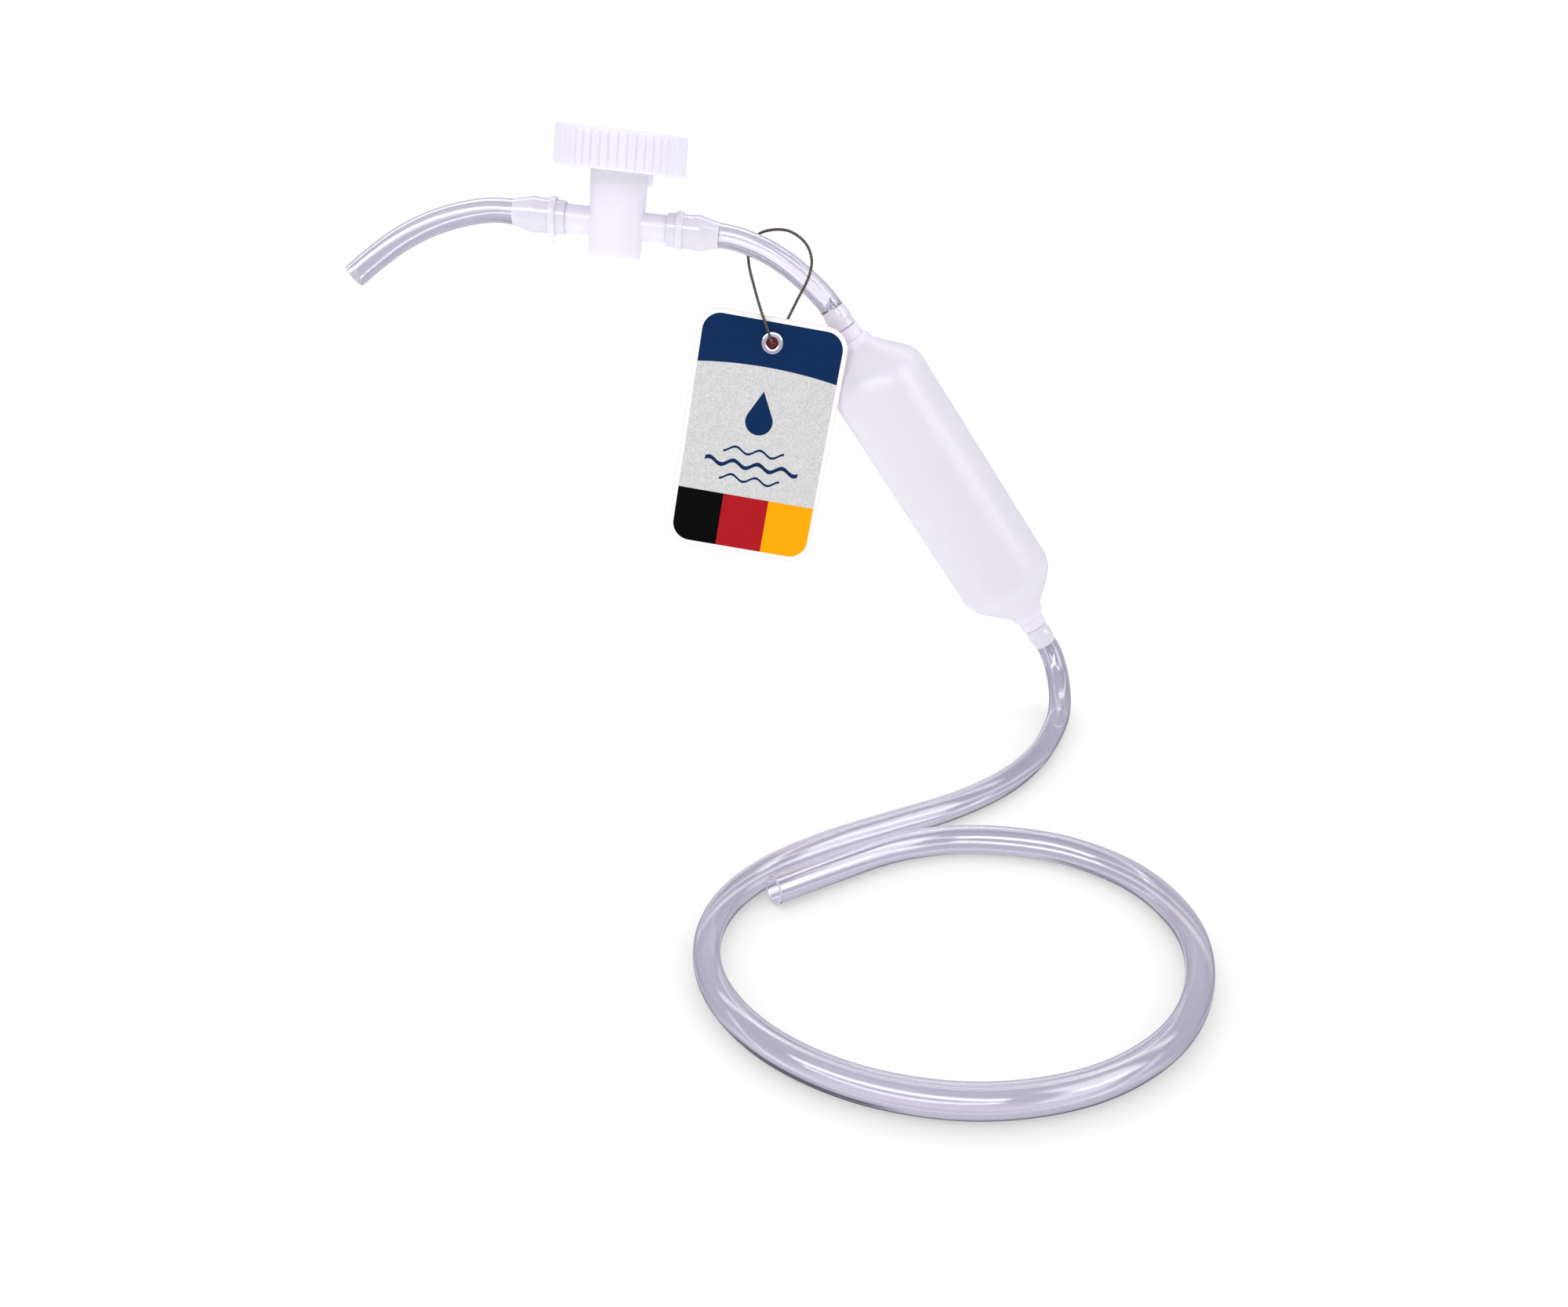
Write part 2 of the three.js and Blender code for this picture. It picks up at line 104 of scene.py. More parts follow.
LYING_Z = -256.5  # centre of a hose lying on the floor
OUTLET_ROUTE = [
    (-51.7, 0, 5.7), (-58, 0, 6.3), (-65.5, 0, 6.3), (-79, 0, 4.2),
    (-94, 0, -0.2), (-109, 0, -7.1), (-123, 0, -16), (-135.6, 0, -25.4),
]
LINK_ROUTE = [
    (51.7, 0, -5.7), (57, 0, -6.5), (64, 0, -8.4), (76, 0, -13.4),
    (88, 0, -20.9), (98.5, 0, -29.6), (106, 0, -37.1), (110.5, 0, -43.0),
]
SUCTION_ROUTE = [
    (233.1, 0, -225.7), (236.3, -0.6, -231), (239.3, -5.4, -240), (239.7, -16.5, -249),
    (236.6, -32.5, -254.9), (228.6, -56, LYING_Z), (213.5, -89, LYING_Z), (192, -119, LYING_Z),
    (165, -143, LYING_Z), (135, -161.5, LYING_Z), (105.5, -180, LYING_Z), (79, -202.5, LYING_Z),
    (61.5, -229, LYING_Z), (55, -259, LYING_Z), (60.5, -290.5, LYING_Z), (79.5, -320.5, LYING_Z),
    (110.5, -342, LYING_Z), (148, -350, LYING_Z), (187, -341.8, LYING_Z), (218.8, -318.4, LYING_Z),
    (238.8, -284, LYING_Z), (244.6, -246.5, LYING_Z), (234, -210, LYING_Z), (210, -186, LYING_Z),
    (184, -177, LYING_Z), (159.5, -176, LYING_Z), (134, -183.5, LYING_Z), (106, -201.5, LYING_Z),
    (80.4, -219.8, LYING_Z),
]
STRING_ROUTE = [
    (83.4, -10.3, -51.6), (80.9, -10.2, -55.2), (78.9, -11.6, -57.7), (78.6, -14, -57.6),
    (77.8, -15.8, -55), (75.9, -15.7, -49), (73.2, -14.8, -41.5), (69.6, -9, -30),
    (66.8, 0.5, -19.6), (66.8, 8.2, -12.6), (70.6, 9.3, -6.4), (76.5, 5.5, -3.6),
    (87.5, -1.5, -3.6), (96, -6.5, -9.6), (98.8, -9.4, -17.6), (97, -10.6, -26),
    (91.6, -10.9, -36.4), (87, -10.6, -45.4), (83.9, -10.4, -51.4),
]


# ---------------------------------------------------------------- camera
CAMERA_PLACE = Vector((84.8, -690, 25.5))
CAMERA_DOWN = 20.5  # degrees below level
CAMERA_LENS = 29.7
SENSOR_WIDTH = 36


def camera():
    """Looks along +Y and down, at the photograph's distance and field of view."""
    data = bpy.data.cameras.new("camera")
    data.lens = CAMERA_LENS
    data.sensor_width = SENSOR_WIDTH
    data.clip_start = 0.01
    made = bpy.data.objects.new("camera", data)
    made.location = CAMERA_PLACE * MM
    made.rotation_euler = (math.radians(90 - CAMERA_DOWN), 0, 0)
    bpy.context.scene.collection.objects.link(made)
    bpy.context.scene.camera = made


# ---------------------------------------------------------------- lines
def smooth_line(points, per_span=14):
    """The centripetal Catmull-Rom curve through the points, as the CAD's hoses follow it."""
    points = [Vector(p) for p in points]
    ends = [2 * points[0] - points[1], *points, 2 * points[-1] - points[-2]]
    line = []
    for p0, p1, p2, p3 in zip(ends, ends[1:], ends[2:], ends[3:]):
        d0, d1, d2 = [math.sqrt((b - a).length) for a, b in ((p0, p1), (p1, p2), (p2, p3))]
        t1 = ((p1 - p0) / d0 - (p2 - p0) / (d0 + d1) + (p2 - p1) / d1) * d1
        t2 = ((p2 - p1) / d1 - (p3 - p1) / (d1 + d2) + (p3 - p2) / d2) * d1
        for step in range(per_span):
            t = step / per_span
            line.append(
                p1 + t1 * t + (3 * (p2 - p1) - 2 * t1 - t2) * t**2 + (2 * (p1 - p2) + t1 + t2) * t**3
            )
    return [*line, points[-1]]


def distances(line):
    """How far along a line each of its points is."""
    made = [0.0]
    for a, b in zip(line, line[1:]):
        made.append(made[-1] + (b - a).length)
    return made


def at(line, along, wanted):
    """The point of a line at a distance along it."""
    i = 1
    while i < len(along) - 1 and along[i] < wanted:
        i += 1
    share = (wanted - along[i - 1]) / max(along[i] - along[i - 1], 1e-9)
    return line[i - 1].lerp(line[i], share)


def value_at(profile, wanted):
    """A profile's value at a distance, from its (distance, value) pairs."""
    if wanted <= profile[0][0]:
        return profile[0][1]
    for (s0, v0), (s1, v1) in zip(profile, profile[1:]):
        if wanted <= s1:
            return v0 + (v1 - v0) * (wanted - s0) / max(s1 - s0, 1e-9)
    return profile[-1][1]


def rounded(profile, radius, closed=False, steps=4):
    """A profile with its corners rounded by short curves. Each corner may have its own radius."""
    radii = radius if isinstance(radius, (list, tuple)) else [radius] * len(profile)
    points = [Vector((*p, 0)) for p in profile]
    made = []
    for i, corner in enumerate(points):
        if not closed and i in (0, len(points) - 1) or radii[i] == 0:
            made.append(tuple(corner[:2]))
            continue
        before, after = points[i - 1], points[(i + 1) % len(points)]
        start = corner + (before - corner).normalized() * min(radii[i], (before - corner).length / 2.1)
        end = corner + (after - corner).normalized() * min(radii[i], (after - corner).length / 2.1)
        for k in range(steps + 1):
            t = k / steps
            made.append(tuple((start * (1 - t) ** 2 + corner * 2 * t * (1 - t) + end * t**2)[:2]))
    return made


# ---------------------------------------------------------------- meshes
def as_object(name, data):
    """A new object in the scene for a mesh or a light."""
    made = bpy.data.objects.new(name, data)
    bpy.context.scene.collection.objects.link(made)
    return made


def finished(piece, angle):
    """Smooth shading, with creases sharper than the angle kept sharp."""
    piece.data.shade_smooth()
    piece.data.set_sharp_from_angle(angle=math.radians(angle))
    return piece


def skin(name, rings, closed=False, place=None):
    """A mesh through rings of points. UV is the share round a ring, and the distance along it."""
    place = place or Matrix.Identity(4)
    sides = len(rings[0])
    points = [place @ p * MM for ring in rings for p in ring]
    count = len(rings)
    along = distances([ring[0] for ring in rings] + [rings[0][0]])
    faces, uvs = [], []
    for i in range(count if closed else count - 1):
        for k in range(sides):
            after = (k + 1) % sides
            below = ((i + 1) % count) * sides
            faces.append((i * sides + k, i * sides + after, below + after, below + k))
            left, right = k / sides, (k + 1) / sides
            uvs += [(left, along[i]), (right, along[i]), (right, along[i + 1]), (left, along[i + 1])]
    if not closed:
        for first in (0, (count - 1) * sides):
            faces.append(tuple(range(first, first + sides)))
            uvs += [(k / sides, 0.0) for k in range(sides)]
    data = bpy.data.meshes.new(name)
    data.from_pydata(points, [], faces)
    layer = data.uv_layers.new(name="surface")
    for item, uv in zip(layer.data, uvs):
        item.uv = uv
    edit = bmesh.new()
    edit.from_mesh(data)
    bmesh.ops.remove_doubles(edit, verts=edit.verts, dist=1e-7)
    bmesh.ops.dissolve_degenerate(edit, edges=edit.edges, dist=1e-7)
    bmesh.ops.recalc_face_normals(edit, faces=edit.faces)
    edit.to_mesh(data)
    edit.free()
    return as_object(name, data)


def circle(radius, height, angles, grow=None):
    """A ring of points round Z, with an own radius at each angle where grow gives one."""
    made = []
    for angle in angles:
        r = radius + (grow(angle, radius, height) if grow else 0)
        made.append(Vector((r * math.cos(angle), r * math.sin(angle), height)))
    return made


def evenly(count):
    """Angles evenly spaced round a full turn."""
    return [TURN * k / count for k in range(count)]


def turned(name, profile, place, segments=96, closed=True, angles=None, grow=None):
    """A turned piece about Z from a profile of (radius, height)."""
    angles = angles or evenly(segments)
    rings = [circle(r, z, angles, grow) for r, z in profile]
    return skin(name, rings, closed, place)


def block(name, size, place):
    """A box with its middle at place."""
    edit = bmesh.new()
    bmesh.ops.create_cube(edit, size=1, matrix=Matrix.Diagonal((*size, 1)))
    bmesh.ops.transform(edit, matrix=Matrix.Scale(MM, 4) @ place, verts=edit.verts)
    data = bpy.data.meshes.new(name)
    edit.to_mesh(data)
    edit.free()
    return as_object(name, data)


def applied(piece):
    """The piece with its modifiers made part of its mesh."""
    bpy.context.view_layer.update()
    shown = piece.evaluated_get(bpy.context.evaluated_depsgraph_get())
    data = bpy.data.meshes.new_from_object(shown)
    piece.modifiers.clear()
    piece.data = data
    return piece


def combine(piece, others, operation):
    """Joins others to the piece or cuts them from it, and deletes them."""
    for other in others:
        step = piece.modifiers.new("combine", "BOOLEAN")
        step.operation = operation
        step.solver = "EXACT"
        step.object = other
        applied(piece)
        bpy.data.objects.remove(other)
    return piece


def gather(piece, other):
    """Adds another piece's mesh to the piece, beside its own, and deletes the other."""
    edit = bmesh.new()
    edit.from_mesh(piece.data)
    edit.from_mesh(other.data)
    edit.to_mesh(piece.data)
    edit.free()
    bpy.data.objects.remove(other)


def moulded(piece, voxel, passes):
    """Melts the joints between joined solids into small fillets."""
    remesh = piece.modifiers.new("remesh", "REMESH")
    remesh.mode = "VOXEL"
    remesh.voxel_size = voxel * MM
    remesh.adaptivity = 0
    smooth = piece.modifiers.new("smooth", "SMOOTH")
    smooth.factor = 0.5
    smooth.iterations = passes
    applied(piece)
    piece.data.shade_smooth()
    return piece


# ---------------------------------------------------------------- materials
class Nodes:
    """Short ways to add nodes to a material or to the world."""

    def __init__(self, tree):
        self.tree = tree

    def link(self, value, socket):
        """Links a value that is a socket, and sets any other. A colour gets its fourth number."""
        if isinstance(value, bpy.types.NodeSocket):
            self.tree.links.new(value, socket)
        elif socket.type == "RGBA" and len(value) == 3:
            socket.default_value = (*value, 1)
        else:
            socket.default_value = value

    def add(self, kind, values=None, **settings):
        node = self.tree.nodes.new("ShaderNode" + kind)
        for key, value in settings.items():
            setattr(node, key, value)
        for key, value in (values or {}).items():
            self.link(value, node.inputs[key])
        return node

    def math(self, operation, *values):
        """The result of a Math node on numbers or sockets."""
        return self.add("Math", dict(enumerate(values)), operation=operation).outputs[0]

    def value(self, number):
        node = self.add("Value")
        node.outputs[0].default_value = number
        return node.outputs[0]

    def dot(self, direction, other):
        return self.add("VectorMath", {0: direction, 1: other}, operation="DOT_PRODUCT").outputs["Value"]

    def span(self, factor, low, high, start=0.0, end=1.0):
        """A factor moved to the range from low to high."""
        values = {"Value": factor, "From Min": start, "From Max": end, "To Min": low, "To Max": high}
        return self.add("MapRange", values).outputs["Result"]

    def edge(self, distance, softness):
        """1 where a distance is above 0 and 0 below it, with an edge of that softness."""
        return self.span(distance, 0.0, 1.0, -softness - 1e-4, softness + 1e-4)

    def blend(self, factor, first, second):
        """One colour or another, by a factor."""
        node = self.add("Mix", data_type="RGBA")
        for index, value in ((0, factor), (6, first), (7, second)):
            self.link(value, node.inputs[index])
        return node.outputs[2]

    def place(self, kind, scale):
        """Texture coordinates of a kind, stretched along each axis."""
        values = {"Vector": self.add("TexCoord").outputs[kind], "Scale": scale}
        return self.add("Mapping", values).outputs[0]

    def noise(self, scale, detail=3, stretch=(1, 1, 1), source="Object"):
        """Noise with features of about 1 / scale metres."""
        values = {"Vector": self.place(source, stretch), "Scale": scale, "Detail": detail}
        return self.add("TexNoise", values).outputs["Fac"]


class Surface(Nodes):
    """A Principled material. Its plain values are set on the shader's own sockets."""

    def __init__(self, name, **sockets):
        self.material = bpy.data.materials.new(name)
        self.material.use_nodes = True
        super().__init__(self.material.node_tree)
        self.shader = self.tree.nodes["Principled BSDF"]
        for socket, value in sockets.items():
            name = socket.replace("_", " ").title().replace("Ior", "IOR")
            self.shader.inputs[name].default_value = value

    def drive(self, socket, value):
        self.tree.links.new(value, self.shader.inputs[socket])
        return self

    def bump(self, height, distance, strength=1.0):
        """Raises the surface by up to distance millimetres where height is 1."""
        values = {"Height": height, "Distance": distance * MM, "Strength": strength}
        return self.drive("Normal", self.add("Bump", values).outputs["Normal"])


def clear_pvc():
    """Clear soft PVC with the faint lines of its extrusion and a slightly uneven gloss."""
    made = Surface("clear_hose", ior=1.53, transmission_weight=1.0)
    lines = made.noise(1.0, 2, (30, 0.006, 1), "UV")
    haze = made.noise(160, 3)
    made.drive("Base Color", made.blend(lines, (0.91, 0.90, 0.945), (0.96, 0.95, 0.975)))
    made.drive("Roughness", made.span(haze, 0.02, 0.05))
    return made.material


def pvc_on_barb():
    """The same PVC where it is stretched on a barb: the milky core fills it from edge to edge."""
    made = Surface("clear_hose_on_barb", ior=1.53, transmission_weight=0.2)
    haze = made.noise(160, 3)
    made.drive("Base Color", made.blend(haze, (0.90, 0.875, 0.97), (0.94, 0.915, 1.0)))
    made.drive("Roughness", made.span(haze, 0.06, 0.14))
    return made.material


def milky(name, deep, pale, roughness):
    """Natural polyethylene: light scatters inside it, and its moulded skin has a soft uneven sheen."""
    made = Surface(
        name, ior=1.51, subsurface_weight=0.7, subsurface_scale=0.004, subsurface_radius=(1.0, 0.95, 1.1),
        coat_weight=0.15, coat_roughness=0.12,
    )
    cloud = made.noise(28, 2)
    grain = made.noise(900, 4)
    made.drive("Base Color", made.blend(cloud, deep, pale))
    made.drive("Roughness", made.span(grain, roughness - 0.06, roughness + 0.08))
    return made.bump(grain, 0.05, 0.25).material


def rubber():
    """Matt black rubber."""
    made = Surface("seal_rubber", specular_ior_level=0.4)
    grain = made.noise(1500, 4)
    made.drive("Base Color", made.blend(grain, (0.015, 0.015, 0.017), (0.035, 0.035, 0.038)))
    made.drive("Roughness", made.span(grain, 0.45, 0.65))
    return made.bump(grain, 0.03, 0.4).material


def spring_steel():
    """Stainless steel with faint brushing."""
    made = Surface("spring_steel", metallic=1.0)
    brushed = made.noise(300, 3, (1, 14, 1))
    made.drive("Base Color", made.blend(brushed, (0.5, 0.51, 0.53), (0.64, 0.65, 0.67)))
    made.drive("Roughness", made.span(brushed, 0.22, 0.4))
    return made.material


def nickel():
    """Bright plated metal with fine rub marks."""
    made = Surface("eyelet_metal", metallic=1.0)
    marks = made.noise(900, 4, (1, 1, 6))
    made.drive("Base Color", made.blend(marks, (0.74, 0.76, 0.78), (0.9, 0.91, 0.93)))
    made.drive("Roughness", made.span(marks, 0.12, 0.26))
    return made.material


def red_fibre():
    """Dark red pressed fibre, rough and flecked."""
    made = Surface("red_fibre", specular_ior_level=0.2)
    fibres = made.noise(2200, 5, (1, 1, 3))
    made.drive("Base Color", made.blend(fibres, (0.1, 0.012, 0.012), (0.26, 0.045, 0.04)))
    made.drive("Roughness", made.span(fibres, 0.75, 0.95))
    return made.bump(fibres, 0.08, 0.6).material


def dark_string():
    """Waxed dark cord: threads of grey and brown."""
    made = Surface("dark_string", specular_ior_level=0.3)
    threads = made.noise(1.0, 4, (9, 0.35, 1), "UV")
    made.drive("Base Color", made.blend(threads, (0.035, 0.028, 0.027), (0.14, 0.115, 0.105)))
    made.drive("Roughness", made.span(threads, 0.55, 0.85))
    return made.bump(threads, 0.06, 0.5).material


# ---------------------------------------------------------------- print on the tag
BORDER = 2.5
PRINT_SOFT = 0.08
NAVY = (0.0056, 0.0265, 0.095)
INK_BLACK = (0.003, 0.003, 0.003)
INK_RED = (0.434, 0.012, 0.018)
INK_GOLD = (0.964, 0.402, 0.0032)
PAPER_LIGHT = (0.74, 0.74, 0.72)
PAPER_DARK = (0.57, 0.575, 0.57)
WHITE = (0.93, 0.93, 0.92)
OUTLINE = (0.85, 0.6, 0.55)
BOARD_LIGHT = (0.74, 0.70, 0.66)  # the card's bare back and edge
BOARD_DARK = (0.52, 0.49, 0.46)
OUTLINE_INSET = 0.35
OUTLINE_HALF_WIDTH = 0.12
OUTLINE_STRENGTH = 0.7
HEAD_FOOT = 37.4  # where the navy head ends, above the middle of the tag
HEAD_SAG = 2.8  # how much lower it ends at the sides
BLOCKS_TOP = -32.0
WAVES = ((-7.5, 1.3, 16.0), (-15.0, 2.2, 25.0), (-22.5, 1.3, 16.0))  # height, thickness, half width
WAVE_LENGTH = 13
WAVE_HEIGHT = 1.5


def inside_rectangle(made, u, v, half_width, half_height, radius):
    """How far inside a round-cornered rectangle each point is, in millimetres."""
    across = made.math("SUBTRACT", made.math("ABSOLUTE", u), half_width - radius)
    upward = made.math("SUBTRACT", made.math("ABSOLUTE", v), half_height - radius)
    squares = [made.math("POWER", made.math("MAXIMUM", side, 0.0), 2.0) for side in (across, upward)]
    corner = made.math("SQRT", made.math("ADD", *squares))
    straight = made.math("MINIMUM", made.math("MAXIMUM", across, upward), 0.0)
    return made.math("SUBTRACT", radius, made.math("ADD", corner, straight))


def droplet(made, u, v):
    """A plain drop: a disc with a pointed top."""
    radius, middle, tip = 7.2, 9.0, 25.0
    upward = made.math("POWER", made.math("SUBTRACT", v, middle), 2.0)
    off = made.math("SQRT", made.math("ADD", made.math("POWER", u, 2.0), upward))
    disc = made.math("SUBTRACT", radius, off)
    slope = math.tan(math.asin(radius / (tip - middle)))
    shoulder = middle + radius**2 / (tip - middle)
    half_width = made.math("MULTIPLY", made.math("SUBTRACT", tip, v), slope)
    cone = made.math("SUBTRACT", half_width, made.math("ABSOLUTE", u))
    top = made.math("MINIMUM", cone, made.math("SUBTRACT", v, shoulder))
    return made.math("MAXIMUM", disc, top)


def wave(made, u, v, height, thickness, half_width):
    """A plain wavy line across the tag."""
    swing = made.math("SINE", made.math("MULTIPLY", u, TURN / WAVE_LENGTH))
    line = made.math("ADD", made.math("MULTIPLY", swing, WAVE_HEIGHT), height)
    band = made.math("SUBTRACT", thickness / 2, made.math("ABSOLUTE", made.math("SUBTRACT", v, line)))
    return made.math("MINIMUM", band, made.math("SUBTRACT", half_width, made.math("ABSOLUTE", u)))


def printed_card():
    """White card with a navy head, a middle of pale textured paper and three colour blocks.

    A UV above the tag's own height marks the card's bare back and edge.
    """
    made = Surface("printed_card", specular_ior_level=0.025)
    coordinates = made.add("UVMap", uv_map="print").outputs[0]
    split = made.add("SeparateXYZ", {0: coordinates})
    u, v = split.outputs[0], split.outputs[1]
    grain = made.noise(1100, 3)
    sag = made.math("POWER", made.math("DIVIDE", u, TAG_WIDTH / 2 - BORDER), 2.0)
    edge = made.math("SUBTRACT", HEAD_FOOT, made.math("MULTIPLY", sag, HEAD_SAG))
    head = made.edge(made.math("SUBTRACT", v, edge), PRINT_SOFT)
    blocks = made.edge(made.math("SUBTRACT", BLOCKS_TOP, v), PRINT_SOFT)
    half_width, half_height = TAG_WIDTH / 2, TAG_HEIGHT / 2
    rim = inside_rectangle(made, u, v, half_width, half_height, TAG_CORNER)
    panel = inside_rectangle(
        made, u, v, half_width - BORDER, half_height - BORDER, TAG_CORNER - BORDER
    )
    block_edge = (half_width - BORDER) / 3
    flecks = made.span(made.math("MULTIPLY", made.math("SUBTRACT", grain, 0.35), 3.0), 0.0, 1.0)
    colour = made.blend(flecks, PAPER_DARK, PAPER_LIGHT)
    colour = made.blend(made.edge(droplet(made, u, v), PRINT_SOFT), colour, NAVY)
    for line in WAVES:
        colour = made.blend(made.edge(wave(made, u, v, *line), PRINT_SOFT), colour, NAVY)
    colour = made.blend(head, colour, NAVY)
    ink = made.blend(made.edge(made.math("ADD", u, block_edge), PRINT_SOFT), INK_BLACK, INK_RED)
    ink = made.blend(made.edge(made.math("SUBTRACT", u, block_edge), PRINT_SOFT), ink, INK_GOLD)
    colour = made.blend(blocks, colour, ink)
    colour = made.blend(made.edge(panel, PRINT_SOFT), WHITE, colour)
    off = made.math("ABSOLUTE", made.math("SUBTRACT", rim, OUTLINE_INSET))
    outline = made.edge(made.math("SUBTRACT", OUTLINE_HALF_WIDTH, off), PRINT_SOFT)
    colour = made.blend(made.math("MULTIPLY", outline, OUTLINE_STRENGTH), colour, OUTLINE)
    board = made.blend(grain, BOARD_DARK, BOARD_LIGHT)
    colour = made.blend(made.math("GREATER_THAN", v, TAG_HEIGHT), colour, board)
    made.drive("Base Color", colour)
    made.drive("Roughness", made.span(grain, 0.45, 0.65))
    inked = made.math("MAXIMUM", head, blocks)
    paper = made.math("SUBTRACT", 1.0, made.math("MULTIPLY", inked, 0.85))
    return made.bump(made.math("MULTIPLY", grain, paper), 0.25, 0.6).material


# ---------------------------------------------------------------- hoses
TAP_CUFF = [  # (distance from the middle of the tap, bore radius)
    (CUFF_START, 7.05), (26.4, 7.02), (27.8, 7.45 - GRIP), (36.6, 7.45 - GRIP), (38.6, 7.4),
    (40.2, 7.9 - GRIP), (42.0, 7.9 - GRIP), (47.0, 6.65 - GRIP), (ARM_TIP, 5.4 - GRIP),
    (54.0, HOSE_BORE_R + 0.12), (57.0, HOSE_BORE_R),
]
NECK_CUFF = [  # (distance from the middle of the bulb, bore radius)
    (BULB_CUFF, 5.55), (99.8, 5.42 - GRIP), (102.3, 5.4 - GRIP), (103.4, 5.85 - GRIP),
    (105.6, 5.85 - GRIP), (BULB_TIP, HOSE_BORE_R - GRIP), (113.0, HOSE_BORE_R),
]


def cuff(profile):
    """A bore profile measured from the hose's own end, with its bends eased."""
    start = profile[0][0]
    return rounded([(s - start, r) for s, r in profile], 1.2)


def straight(place, axis, start, end, spacing=0.4):
    """Points along an axis of the tap or the bulb."""
    count = max(2, round(abs(end - start) / spacing))
    return [place @ (Vector(axis) * (start + (end - start) * k / count)) for k in range(count)]


def travel(line):
    """At each point of a line, the direction of travel and a side direction that never twists."""
    ahead = []
    for i in range(len(line)):
        ahead.append((line[min(i + 1, len(line) - 1)] - line[max(i - 1, 0)]).normalized())
    side = ahead[0].cross(UP if abs(ahead[0].z) < 0.9 else Vector((0, 1, 0))).normalized()
    made = []
    for forward in ahead:
        side = (side - forward * side.dot(forward)).normalized()
        made.append((forward, side))
    return made


def ovalled(out, forward, amount):
    """A direction across a hose that lies on its side, pressed narrower and taller by a share."""
    up = UP - forward * UP.dot(forward)
    if amount == 0 or up.length < 0.2:
        return out
    up.normalize()
    level = forward.cross(up)
    return out + (up * out.dot(up) - level * out.dot(level)) * amount


RIM_STEPS = (0.0, 0.12, 0.35)  # from a sawn end to its first rings
RIM_LIPS = (0.12, 0.03)  # how much the rim is rounded at the first two
CUFF_SPACING = 0.45


def ring_places(total, fine, fine_end, spacing):
    """How far along a hose its rings are: close together over the barbs and at both rims."""
    places, s = [], 0.7
    while s < total - 0.8:
        places.append(s)
        s += CUFF_SPACING if s < fine or total - s < fine_end else spacing
    return [*RIM_STEPS, *places, *(total - step for step in reversed(RIM_STEPS))]


def hose(name, line, start_cuff, end_cuff=None, oval=None, sides=128, spacing=2.4):
    """A tube with a wall, swollen where it is pushed over a barb, and its rims slightly rounded."""
    along = distances(line)
    total = along[-1]
    fine = start_cuff[-1][0] + 2
    fine_end = end_cuff[-1][0] + 2 if end_cuff else 0
    stops = ring_places(total, fine, fine_end, spacing)
    centres = [at(line, along, s) for s in stops]
    directions = travel(centres)

    def bore(s):
        if s < fine:
            return value_at(start_cuff, s)
        if end_cuff and total - s < fine_end:
            return value_at(end_cuff, total - s)
        return HOSE_BORE_R

    def ring(i, radius):
        forward, side = directions[i]
        across = forward.cross(side)
        amount = value_at(oval, stops[i]) if oval else 0
        points = []
        for angle in evenly(sides):
            out = side * math.cos(angle) + across * math.sin(angle)
            points.append(centres[i] + ovalled(out, forward, amount) * radius)
        return points

    lips = [*RIM_LIPS, *[0] * (len(stops) - 4), *reversed(RIM_LIPS)]
    outer, inner = [], []
    for i, (s, lip) in enumerate(zip(stops, lips)):
        stretch = min((bore(s) - HOSE_BORE_R) / 0.3, 1)
        wall = WALL + (STRETCHED_WALL - WALL) * max(stretch, 0)
        outer.append(ring(i, bore(s) + wall - lip))
        inner.append(ring(i, bore(s) + lip))
    piece = finished(skin(name, outer + inner[::-1], closed=True), 60)
    piece.data.materials.append(PVC)
    fill_barbs(piece, centres)
    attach(piece, "siphon")
    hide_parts(name)
    return piece, [p * MM for p in centres], total * MM


def fill_barbs(piece, centres):
    """Gives a hose's outside over the barbs a material of its own, and its hazy sawn ends too."""
    near = 2 * HOSE_R
    piece.data.materials.append(PVC_ON_BARB)
    for end, inner in ((centres[0], centres[1]), (centres[-1], centres[-2])):
        outwards = (end - inner).normalized()
        for face in piece.data.polygons:
            if (face.center / MM - end).length < near and face.normal.dot(outwards) > 0.5:
                face.material_index = 1
    for place, reach, along in ((TAP.inverted(), ARM_TIP, 0), (BULB.inverted(), BULB_TIP, 2)):
        for face in piece.data.polygons:
            spot = place @ (face.center / MM)
            off = spot.copy()
            off[along] = 0
            outward = (place.to_3x3() @ face.normal).dot(off) > 0
            if outward and off.length < near and abs(spot[along]) < reach:
                face.material_index = 1


def outlet_hose():
    """The short hose on the tap's free arm."""
    line = straight(TAP, (-1, 0, 0), CUFF_START, ARM_TIP) + smooth_line(OUTLET_ROUTE)
    piece, path, length = hose("outlet_hose", line, cuff(TAP_CUFF), sides=160, spacing=0.8)


def link_hose():
    """The hose from the tap to the bulb, swollen at both ends."""
    line = (
        straight(TAP, (1, 0, 0), CUFF_START, ARM_TIP)
        + smooth_line(LINK_ROUTE)[:-1]
        + straight(BULB, (0, 0, 1), BULB_TIP, BULB_CUFF - 0.01)
    )
    piece, path, length = hose("link_hose", line, cuff(TAP_CUFF), cuff(NECK_CUFF), sides=160, spacing=0.8)


LYING_OVAL = 0.108  # how much taller than round a hose is that lies on the floor in a curve


def suction_hose():
    """The long hose. On the floor it lies on its side, a little narrower than tall."""
    line = straight(BULB, (0, 0, -1), BULB_CUFF, BULB_TIP) + smooth_line(SUCTION_ROUTE)
    line = [p + UP * (HOSE_R * LYING_OVAL if p.z < LYING_Z + 0.5 else 0) for p in line]
    total = distances(line)[-1]
    oval = [(60, 0), (120, LYING_OVAL), (total - 60, LYING_OVAL), (total, 0.02)]
    piece, path, length = hose("suction_hose", line, cuff(NECK_CUFF), oval=oval)


